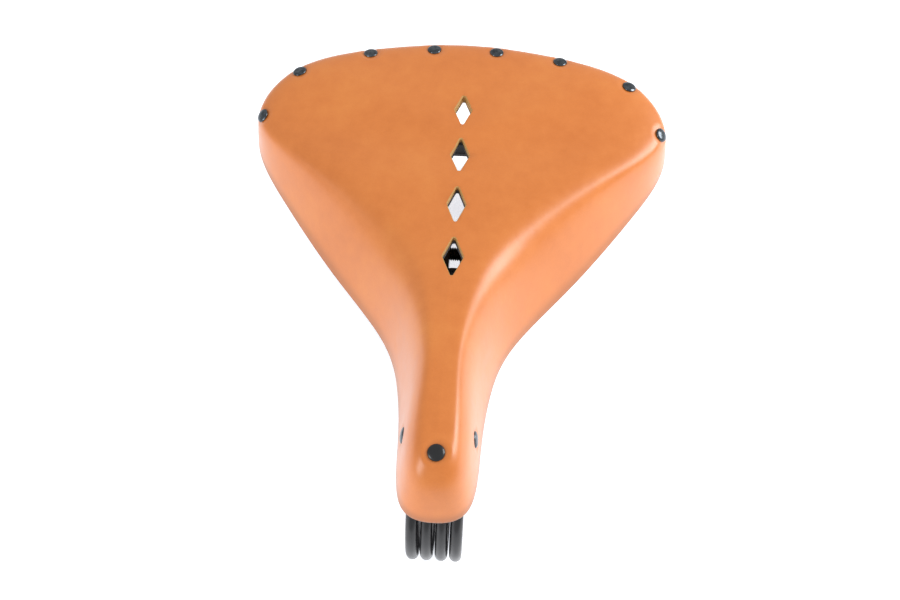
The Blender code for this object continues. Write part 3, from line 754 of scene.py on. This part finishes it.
def prism(outline, low, high, at=(0, 0, 0), axes="xyz"):
    """Two rings: a flat outline in the first two axes, at two places along the third."""
    outline = np.asarray(outline, float)
    rings = np.empty((2, len(outline), 3))
    first, second, third = ("xyz".index(letter) for letter in axes)
    rings[:, :, first] = outline[:, 0]
    rings[:, :, second] = outline[:, 1]
    rings[:, :, third] = np.array([[low], [high]])
    return rings + np.asarray(at, float)


def bar(radius, low, high, at, along=(0, 0, 1)):
    """Rings of a cylinder along a direction, between two distances from a place."""
    return placed(turned([(radius, low), (radius, high)], 48), at, along)


def sheet(stations, shares, outer, inner, crown_joined=False):
    """Outer and inner grids at two depths, with a wall round their border.

    Where both halves meet at the crown, their points are welded and need no wall.
    """
    station, share = np.meshgrid(stations, shares, indexing="ij")
    points = np.concatenate([skin(station, share, depth).reshape(-1, 3) for depth in (outer, inner)])
    rows, columns = station.shape
    over = np.arange(rows * columns).reshape(rows, columns)
    under = over + rows * columns
    quads = [np.stack([g[:-1, :-1], g[1:, :-1], g[1:, 1:], g[:-1, 1:]], axis=-1).reshape(-1, 4)
             for g in (over, under)]
    quads[1] = quads[1][:, ::-1]
    borders = [(grid[0], grid[:, -1], grid[-1, ::-1], grid[::-1, 0]) for grid in (over, under)]
    walls = list(zip(*borders))
    for a, b in walls[:3] if crown_joined else walls:
        quads.append(np.column_stack([a[:-1], a[1:], b[1:], b[:-1]]))
    _, first, back = np.unique(np.round(points, 4), axis=0, return_index=True, return_inverse=True)
    faces = back.ravel()[np.concatenate(quads)]
    mesh = bpy.data.meshes.new("sheet")
    mesh.from_pydata((points[first] * MM).tolist(), [], faces.tolist())
    return mesh


def solid(name, rings):
    """A helper mesh with no material, for joining or cutting."""
    return ringed(name, rings, None)


def finished(made, added, cut, edge, node, surface, body):
    """Joins and cuts helpers, rounds the edges, and puts the result in the node's place."""
    for tools, operation in ((added, "UNION"), (cut, "DIFFERENCE")):
        for tool in tools:
            change = made.modifiers.new(tool.name, "BOOLEAN")
            change.object = tool
            change.operation = operation
    soft = made.modifiers.new("edges", "BEVEL")
    soft.width = edge * MM
    soft.segments = 2
    soft.limit_method = "ANGLE"
    soft.angle_limit = math.radians(40)
    graph = bpy.context.evaluated_depsgraph_get()
    mesh = bpy.data.meshes.new_from_object(made.evaluated_get(graph))
    name = made.name
    for thing in [made, *added, *cut]:
        bpy.data.objects.remove(thing, do_unlink=True)
    mesh.name = name
    mesh.materials.clear()
    return settle(finish_mesh(name, mesh, surface), node, body)


def settle(made, node, body):
    """Puts a piece in the place of a CAD node, on that body."""
    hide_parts(node)
    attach(made, body)
    return made


def hexagon_rings(low, high, bore=0.0):
    """Rings of a nut or head: a hexagon's radius, cut back by a cone near both faces."""
    angle = np.linspace(0, 2 * math.pi, 72, endpoint=False)
    flat = HEX * math.cos(math.pi / 6)
    hexagon = flat / np.cos((angle + math.pi / 6) % (math.pi / 3) - math.pi / 6)
    heights = np.array([0, 0.25, 0.5, 0.8, 0.8, 0.5, 0.25, 0])
    levels = low + heights
    levels[4:] = high - heights[4:]
    cone = flat - 0.25 + heights * 1.6
    radius = np.minimum(hexagon[None], cone[:, None])
    radius[3:5] = hexagon
    if bore:
        levels = np.concatenate([[low], levels, [high]])
        inside = np.full((1, len(angle)), bore)
        radius = np.concatenate([inside, radius, inside])
    rings = np.empty((*radius.shape, 3))
    rings[..., 0] = radius * np.cos(angle)
    rings[..., 1] = radius * np.sin(angle)
    rings[..., 2] = levels[:, None]
    return rings


def washer_profile(inner, outer, low, high, edge=0.3):
    """Half section of a flat ring whose outer corners are chamfered."""
    return [(inner, low), (outer - edge, low), (outer, low + edge), (outer, high - edge),
            (outer - edge, high), (inner, high)]


def screw_rings(low, high, sides=72, pitch=1.25):
    """A thread: the radius dips by a cosine of height less turn, fading out at both ends."""
    count = int((high - low) / pitch * 9)
    height = np.linspace(low, high, count)[:, None]
    angle = np.linspace(0, 2 * math.pi, sides, endpoint=False)[None]
    fade = np.clip(np.minimum(height - low, high - height) / 0.8, 0, 1)
    dip = 0.3 * fade * (1 + np.cos(2 * math.pi * height / pitch - angle))
    radius = STUD - dip
    return np.stack([radius * np.cos(angle), radius * np.sin(angle),
                     np.broadcast_to(height, radius.shape)], axis=-1)


def make_plates():
    """The arch under the rim with a lug over each spring, and the cap inside the nose."""
    outer = bpy.context.scene.saddle_sizes.leather / MM + GAP
    steel = enamel()
    arch = finish_mesh("cantle_arch", sheet(np.linspace(-3.25, 3.25, 183), np.linspace(0.3, 0.7, 25),
                                            outer, outer + PLATE))
    lugs, bores = [], []
    for side in (1, -1):
        at = (side * SPRING[0], SPRING[1], 0)
        lugs.append(solid("lug", prism(arc((0, 0), 20, 0, 360, 72)[:-1], 82.3, 85.3, at)))
        web = prism([(-10, 8.7), (10, 8.7), (10, 11.3), (-10, 11.3)], 83.8, 97.0)
        turn = np.array(Matrix.Rotation(math.radians(-24 * side), 3, "Z"))
        lugs.append(solid("web", web @ turn.T + np.array(at)))
        bores.append(solid("bore", bar(BORE, 78, 90, at)))
    for name, (station, share) in rivet_places().items():
        if "rear" in name:
            at = skin(np.array([station]), np.array([share]))[0]
            up = skin_normal(np.array([station]), np.array([share]))[0]
            bores.append(solid("shank", bar(2.3, -18, 2, at, up)))
            bores.append(solid("spot", bar(3.2, -18, -8.4, at, up)))
    finished(arch, lugs, bores, 0.4, "cantle_plate", steel, "seat")

    cap = finish_mesh("nose_cap", sheet(np.linspace(8, 12, 129), np.linspace(0, 0.9, 49),
                                        outer, outer + PLATE, crown_joined=True))
    outline = [(-9, 78.5), (9, 78.5), (9, 69.5), (6, 67), (-6, 67), (-9, 69.5)]
    wall = solid("wall", prism(outline, -120, -116, axes="xzy"))
    bores = [solid("bore", bar(GROOVE, -8, 8, (0, -118, BOLT_Z), (0, 1, 0)))]
    for name, (station, share) in rivet_places().items():
        if "nose" in name:
            at = skin(np.array([station]), np.array([share]))[0]
            up = skin_normal(np.array([station]), np.array([share]))[0]
            bores.append(solid("shank", bar(2.3, -18, 2, at, up)))
    finished(cap, [wall], bores, 0.3, "nose_plate", steel, "nose")


def make_tension():
    """The shackle that grips the wires, the tension bolt and its nut."""
    steel, bright = enamel(), zinc()
    right = np.array([(14.1, 51.8), (14.1, 58.0), (11.1, 61.8)])
    block = np.vstack([right, right[::-1] * (-1, 1)])
    made = solid("shackle_block", prism(block, *SHACKLE_Y, axes="xzy"))
    ear = np.vstack([[(-8, 60), (8, 60)], arc((0, BOLT_Z), 8, 0, 180, 36)])
    ear = solid("ear", prism(ear, -84, -76, axes="xzy"))
    bores = [solid("wire_bore", bar(GROOVE, -90, -60, (x, 0, 57), (0, 1, 0)))
             for x in (-10.3, -3.5, 3.5, 10.3)]
    bores.append(solid("bolt_bore", bar(BORE, -95, -60, (0, 0, BOLT_Z), (0, 1, 0))))
    finished(made, [ear], bores, 0.6, "wire_shackle", steel, "seat")

    head = [(0, 0), (2.9, 0), (3.2, 0.3), (4.4, 1.3), (4.4, 5.6), (4.0, 6.0), (3.0, 6.2), (3.0, 10.6),
            (6.1, 10.6), (6.5, 11.0), (6.5, 13.2), (6.1, 13.6), (4.0, 13.6)]
    rings = np.concatenate([turned(head, 72), screw_rings(13.7, 65.2), turned([(3.0, 66.0), (0, 66.0)], 72)])
    made = ringed("threaded_tension_bolt", placed(rings, (0, -126.3, BOLT_Z), (0, 1, 0)), bright)
    settle(made, "tension_bolt", "nose")
    rings = placed(hexagon_rings(-6, 0, STUD + GAP), (0, -84.3, BOLT_Z), (0, 1, 0))
    made = ringed("tension_hexagon", rings, bright, wrap=True)
    settle(made, "tension_nut", "tension_nut")


def make_bridge():
    """The cross plate on the wire tails and the grooved blocks that clamp them to it."""
    steel = enamel()
    right = np.vstack([[(30, 127.3)], arc(SPRING, 20, 140, 430, 72), [(44, 139), (32, 143)]])
    outline = np.vstack([right, right[::-1] * (-1, 1)])
    made = solid("bridge_plate", prism(outline, 21, 24))
    bores = [solid("bore", bar(BORE, 15, 30, (side * SPRING[0], SPRING[1], 0))) for side in (1, -1)]
    finished(made, [], bores, 0.5, "rear_bridge", steel, "undercarriage")
    low, high = 8.6, 17.4
    cut = math.degrees(math.asin((TAIL_Z - high) / GROOVE))
    for side, word in ((1, "right"), (-1, "left")):
        line = [[(-14, low), (14, low), (14, high)]]
        line += [arc((x, TAIL_Z), GROOVE, -cut, cut - 180, 24) for x in (8, -8)]
        line = np.vstack([*line, [(-14, high)]])
        at = (side * SPRING[0], SPRING[1], 0)
        made = solid(f"tail_block_{word}", prism(line, -10, 10, at, "xzy"))
        finished(made, [], [solid("bore", bar(BORE, 5, 20, at))], 0.4, f"wire_keeper_{word}", steel,
                 "undercarriage")


def make_stacks():
    """Bolts, washers, cups and nuts of both spring stacks."""
    steel, bright = enamel(), zinc()
    cup = [(4.3, 0), (20.6, 0), (21, 0.4), (21, 1.9), (20.6, 2.3), (8.4, 2.3), (8.0, 2.1), (4.3, 2.1)]
    low_head = [(0, 0), (5.9, 0), (6.2, 0.15), (7.3, 1.1), (7.5, 1.5), (7.5, 5.6), (7.1, 6.0), (4, 6.0)]
    high_head = [(0, 73.9), (5.9, 73.9), (6.2, 74.0), (7.3, 74.7), (7.5, 75.1), (7.5, 79.0), (7.1, 79.4),
                 (4, 79.4)]
    for side, word in ((1, "right"), (-1, "left")):
        at = (side * SPRING[0], SPRING[1], 0)
        rings = np.concatenate([turned(low_head, 72), screw_rings(6.1, 36.4),
                                turned([(3.2, 37.0), (0, 37.0)], 72)])
        settle(ringed(f"lower_bolt_{word}", placed(rings, at), bright),
               f"spring_bottom_bolt_{word}", "undercarriage")
        rings = np.concatenate([turned(high_head, 72), screw_rings(79.5, 92.4),
                                turned([(3.2, 93.0), (0, 93.0)], 72)])
        settle(ringed(f"upper_bolt_{word}", placed(rings, at), bright),
               f"spring_top_bolt_{word}", "seat")
        washer = turned(washer_profile(BORE, 9, 6.3, 8.3), 72)
        settle(ringed(f"lower_washer_{word}", placed(washer, at), bright, wrap=True),
               f"spring_bottom_washer_{word}", "undercarriage")
        lower = turned([(r, 24.3 + h) for r, h in cup], 96)
        settle(ringed(f"lower_cup_{word}", placed(lower, at), steel, wrap=True),
               f"spring_bottom_seat_{word}", "undercarriage")
        upper = turned([(r, 82.0 - h) for r, h in cup], 96)
        settle(ringed(f"upper_cup_{word}", placed(upper, at), steel, wrap=True),
               f"spring_top_seat_{word}", "seat")
        for level, where, body in ((27.1, "bottom", "undercarriage"), (85.6, "top", "seat")):
            rings = placed(hexagon_rings(level, level + 6, STUD + GAP), at)
            settle(ringed(f"{where}_hexagon_{word}", rings, bright, wrap=True),
                   f"spring_{where}_nut_{word}", body)


def toothed_rings(near, far):
    """A disc whose outer face has radial teeth: its height ripples with the angle."""
    profile = [(4.3, near), (10.7, near), (11, near + 0.3), (11, far - 0.9), (10.7, far - 0.6),
               (6.0, far - 0.6), (5.6, far - 0.2), (4.3, far - 0.2)]
    rings = turned(profile, 144)
    angle = np.arctan2(rings[4:6, :, 1], rings[4:6, :, 0])
    rings[4:6, :, 2] += 0.35 * np.cos(36 * angle)
    return rings


def make_clamp():
    """Stud, toothed discs, rail cheeks, washers, nuts, collar and sleeve, laid out along X."""
    steel, bright = enamel(), zinc()
    at = CLAMP
    ends = [turned([(0, -44), (2.9, -44), (3.2, -43.8)], 72), turned([(3.2, 43.8), (2.9, 44), (0, 44)], 72)]
    stud = np.concatenate([ends[0], screw_rings(-43.2, 43.2), ends[1]])
    settle(ringed("threaded_stud", placed(stud, at, (1, 0, 0)), steel), "clamp_stud",
           "clamp_carriage")
    for side, word in ((1, "right"), (-1, "left")):
        out = (side, 0, 0)
        settle(ringed(f"toothed_disc_{word}", placed(toothed_rings(7.2, 12), at, out), steel, wrap=True),
               f"clamp_serrated_disc_{word}", "clamp_carriage")
        for name, near, far in (("inner", 12.3, 21.7), ("outer", 22.3, 30.0)):
            grooved, plain = (near, far) if near > RAIL_X else (far, near)
            way = 1 if near > RAIL_X else -1
            tilt = math.degrees(math.asin(abs(grooved - RAIL_X) / GROOVE))
            line = [[(plain, 12), (grooved, 12)]]
            for z in (18.0, 38.0):
                groove = arc((0, 0), GROOVE, -90 + tilt, 90 - tilt, 24) * (way, 1)
                line.append(groove + (RAIL_X, z))
            line = np.vstack([*line, [(grooved, 44), (plain, 44)]]) * (side, 1)
            made = solid(f"{name}_rail_cheek_{word}", prism(line, 29, 51, axes="xzy"))
            finished(made, [], [solid("bore", bar(BORE, near - 3, far + 3, at, out))], 0.6,
                     f"clamp_{name}_cheek_{word}", steel, "clamp_carriage")
        washer = placed(turned(washer_profile(BORE, 9, 30.3, 32.3), 72), at, out)
        settle(ringed(f"stud_washer_{word}", washer, bright, wrap=True), f"clamp_washer_{word}",
               "clamp_carriage")
        rings = placed(hexagon_rings(32.6, 39.1, STUD + GAP), at, out)
        settle(ringed(f"stud_hexagon_{word}", rings, bright, wrap=True), f"clamp_nut_{word}",
               f"clamp_nut_{word}")
    made = solid("strap_collar", prism(split_ring(12.8, 15.4, 3.2, 90), 6, 30, (0, POST_Y, 0)))
    ears = []
    for side in (1, -1):
        line = np.vstack([[(27.6, 9), (31.6, 9)], arc((40, 28), 9.5, -75, 95, 40), [(27.6, 29.5)]])
        ears.append(solid("ear", prism(line, side * 3.2, side * 6.9, axes="yzx")))
    finished(made, ears, [solid("bore", bar(BORE, -12, 12, at, (1, 0, 0)))], 0.4, "clamp_collar", steel,
             "clamp_collar")
    made = solid("split_sleeve", prism(split_ring(11.15, 12.5, 0.6, 270), 5, 31, (0, POST_Y, 0)))
    finished(made, [], [], 0.25, "post_sleeve", steel, "clamp_collar")


def split_ring(inner, outer, slot, middle):
    """A ring's outline, open by a slot of a half width at an angle from X."""
    open_in = math.degrees(math.asin(slot / inner))
    open_out = math.degrees(math.asin(slot / outer))
    return np.vstack([arc((0, 0), outer, middle + open_out, middle + 360 - open_out, 120),
                      arc((0, 0), inner, middle + 360 - open_in, middle + open_in, 120)])


# Stage

def make_stage():
    """A pale floor, soft boxes over both sides, and the camera."""
    made, tree, shader, coords = new_material("pale_paper_floor")
    tone = ramp(tree, noise(tree, coords, 60, 3), (0.3, "f2f2f3"), (0.7, "f6f6f6"))
    tree.links.new(tone, shader.inputs["Base Color"])
    shader.inputs["Roughness"].default_value = 0.9
    shader.inputs["Emission Color"].default_value = linear("f4f7ff")
    shader.inputs["Emission Strength"].default_value = 0.65
    span = 3.0
    mesh = bpy.data.meshes.new("floor")
    corners = [(-span, -span, -0.0002), (span, -span, -0.0002), (span, span, -0.0002), (-span, span, -0.0002)]
    mesh.from_pydata(corners, [], [(0, 1, 2, 3)])
    mesh.materials.append(made)
    floor = bpy.data.objects.new("floor", mesh)
    bpy.context.scene.collection.objects.link(floor)
    bpy.context.scene.view_settings.view_transform = "Standard"
    world = bpy.context.scene.world or bpy.data.worlds.new("studio")
    bpy.context.scene.world = world
    world.use_nodes = True
    backdrop = world.node_tree.nodes["Background"]
    backdrop.inputs["Color"].default_value = linear("f6f8fb")
    backdrop.inputs["Strength"].default_value = 0.7
    lamp("key_box", (0.8, 0.18, 0.58), (0, 0, 0.06), 0.5, 7.5)
    lamp("fill_box", (-0.7, -0.55, 0.48), (0, 0, 0.06), 0.4, 3.4)
    aim_camera()


def lamp(name, at, to, size, power):
    """A square soft box at a place, turned to face another."""
    light = bpy.data.lights.new(name, "AREA")
    light.shape = "SQUARE"
    light.size = size
    light.energy = power
    made = bpy.data.objects.new(name, light)
    made.location = at
    made.rotation_mode = "QUATERNION"
    made.rotation_quaternion = (Vector(at) - Vector(to)).to_track_quat("Z", "Y")
    bpy.context.scene.collection.objects.link(made)


def aim_camera():
    """A camera on a sphere round its target: azimuth, elevation, distance and roll."""
    target, distance = Vector((0.0006, -0.0283, 0.075)), 0.4729
    azimuth, elevation, roll = (math.radians(a) for a in (2.6, 53.5, 1.0))
    back = Vector((math.sin(azimuth) * math.cos(elevation),
                   -math.cos(azimuth) * math.cos(elevation), math.sin(elevation)))
    right = Vector((math.cos(azimuth), math.sin(azimuth), 0))
    up = back.cross(right)
    level = math.cos(roll) * right + math.sin(roll) * up
    upright = math.cos(roll) * up - math.sin(roll) * right
    turn = Matrix((level, upright, back)).transposed()
    lens = bpy.data.cameras.new("camera")
    lens.lens = 37.64
    lens.sensor_width = 36.0
    lens.clip_start = 0.01
    made = bpy.data.objects.new("camera", lens)
    made.matrix_world = Matrix.Translation(target + back * distance) @ turn.to_4x4()
    bpy.context.scene.collection.objects.link(made)
    bpy.context.scene.camera = made


# Add-on classes

def length(name, description, default_mm):
    """A size property with its default in millimetres."""
    return bpy.props.FloatProperty(name=name, description=description, default=default_mm * MM,
                                   min=0.0, precision=4, subtype="DISTANCE", unit="LENGTH")


def shade(name, description, default):
    """A colour property with its default as a hex code."""
    return bpy.props.StringProperty(name=name, description=f"{description}, as a hex code", default=default)


class SaddleSizes(bpy.types.PropertyGroup):
    """Sizes that a user would change."""

    leather: length("Leather", "Thickness of the leather", 5.0)
    wire: length("Wire", "Radius of the frame wires", 3.0)
    rivet: length("Rivet", "Radius of a rivet's head", 3.9)


class SaddleColours(bpy.types.PropertyGroup):
    """Colours of every finish, as hex codes."""

    leather: shade("Leather", "Main colour of the leather", "d27830")
    leather_dark: shade("Leather, dark", "Darker clouds in the leather", "ca7029")
    leather_light: shade("Leather, light", "Lighter clouds in the leather", "d88137")
    leather_burnished: shade("Leather, burnished", "Rubbed rims and dishes", "6f3a17")
    flesh: shade("Flesh side", "Inner face of the hide", "8a5a34")
    flesh_dark: shade("Flesh side, dark", "Darker fibres of the inner face", "5c3a20")
    edge: shade("Cut edge", "Cut faces of the slots", "b88d50")
    # Painted shade: the near-black colour of the slot walls deep below the grain side.
    edge_painted_shade: shade("Cut edge, dark", "Darker fibres of the cut faces", "1d150c")
    enamel: shade("Enamel", "Black enamel", "08080a")
    enamel_worn: shade("Enamel, worn", "Black enamel where it is handled", "111114")
    rivet: shade("Rivet", "Blued rivets", "686e73")
    rivet_dark: shade("Rivet, dark", "Darker blueing", "3a3f43")
    zinc: shade("Zinc", "Plated fastenings", "b9bbbe")
    zinc_dark: shade("Zinc, dark", "Plated fastenings in recesses", "8d9094")


class SADDLE_OT_leather(bpy.types.Operator):
    """Make the leather shell with its four slots."""

    bl_idname = "saddle.leather"
    bl_label = "Leather Top"

    def execute(self, context):
        make_leather()
        return {"FINISHED"}


class SADDLE_OT_rivets(bpy.types.Operator):
    """Make the eleven rivets."""

    bl_idname = "saddle.rivets"
    bl_label = "Rivets"

    def execute(self, context):
        make_rivets()
        return {"FINISHED"}


class SADDLE_OT_wires(bpy.types.Operator):
    """Make the four wires with their front loops."""

    bl_idname = "saddle.wires"
    bl_label = "Frame Wires"

    def execute(self, context):
        make_wires()
        return {"FINISHED"}


class SADDLE_OT_springs(bpy.types.Operator):
    """Make both coil springs."""

    bl_idname = "saddle.springs"
    bl_label = "Rear Springs"

    def execute(self, context):
        make_springs()
        return {"FINISHED"}


class SADDLE_OT_plates(bpy.types.Operator):
    """Make the cantle plate and the nose plate."""

    bl_idname = "saddle.plates"
    bl_label = "Plates"

    def execute(self, context):
        make_plates()
        return {"FINISHED"}


class SADDLE_OT_tension(bpy.types.Operator):
    """Make the shackle, the tension bolt and its nut."""

    bl_idname = "saddle.tension"
    bl_label = "Tension Gear"

    def execute(self, context):
        make_tension()
        return {"FINISHED"}


class SADDLE_OT_bridge(bpy.types.Operator):
    """Make the rear bridge and the wire keepers."""

    bl_idname = "saddle.bridge"
    bl_label = "Rear Bridge"

    def execute(self, context):
        make_bridge()
        return {"FINISHED"}


class SADDLE_OT_stacks(bpy.types.Operator):
    """Make the bolts, washers, cups and nuts of the springs."""

    bl_idname = "saddle.stacks"
    bl_label = "Spring Fastenings"

    def execute(self, context):
        make_stacks()
        return {"FINISHED"}


class SADDLE_OT_clamp(bpy.types.Operator):
    """Make every piece of the seat-post clamp."""

    bl_idname = "saddle.clamp"
    bl_label = "Seat-Post Clamp"

    def execute(self, context):
        make_clamp()
        return {"FINISHED"}


class SADDLE_OT_stage(bpy.types.Operator):
    """Make the floor, the lights and the camera."""

    bl_idname = "saddle.stage"
    bl_label = "Stage"

    def execute(self, context):
        make_stage()
        return {"FINISHED"}


OPERATORS = (
    SADDLE_OT_leather,
    SADDLE_OT_rivets,
    SADDLE_OT_wires,
    SADDLE_OT_springs,
    SADDLE_OT_plates,
    SADDLE_OT_tension,
    SADDLE_OT_bridge,
    SADDLE_OT_stacks,
    SADDLE_OT_clamp,
    SADDLE_OT_stage,
)


class SADDLE_PT_panel(bpy.types.Panel):
    """One button for each group of pieces."""

    bl_label = "Leather Saddle"
    bl_space_type = "VIEW_3D"
    bl_region_type = "UI"
    bl_category = "Saddle"

    def draw(self, context):
        for made in OPERATORS:
            self.layout.operator(made.bl_idname)


CLASSES = (SaddleSizes, SaddleColours, *OPERATORS, SADDLE_PT_panel)


def register():
    """Adds the classes and hangs both property groups on the scene."""
    for made in CLASSES:
        bpy.utils.register_class(made)
    bpy.types.Scene.saddle_sizes = bpy.props.PointerProperty(type=SaddleSizes)
    bpy.types.Scene.saddle_colours = bpy.props.PointerProperty(type=SaddleColours)


def unregister():
    """Takes away what register added."""
    del bpy.types.Scene.saddle_sizes
    del bpy.types.Scene.saddle_colours
    for made in reversed(CLASSES):
        bpy.utils.unregister_class(made)


def main():
    """Builds every group of pieces in order."""
    register()
    for made in OPERATORS:
        getattr(bpy.ops.saddle, made.bl_idname.removeprefix("saddle."))()


if __name__ == "__main__":
    main()
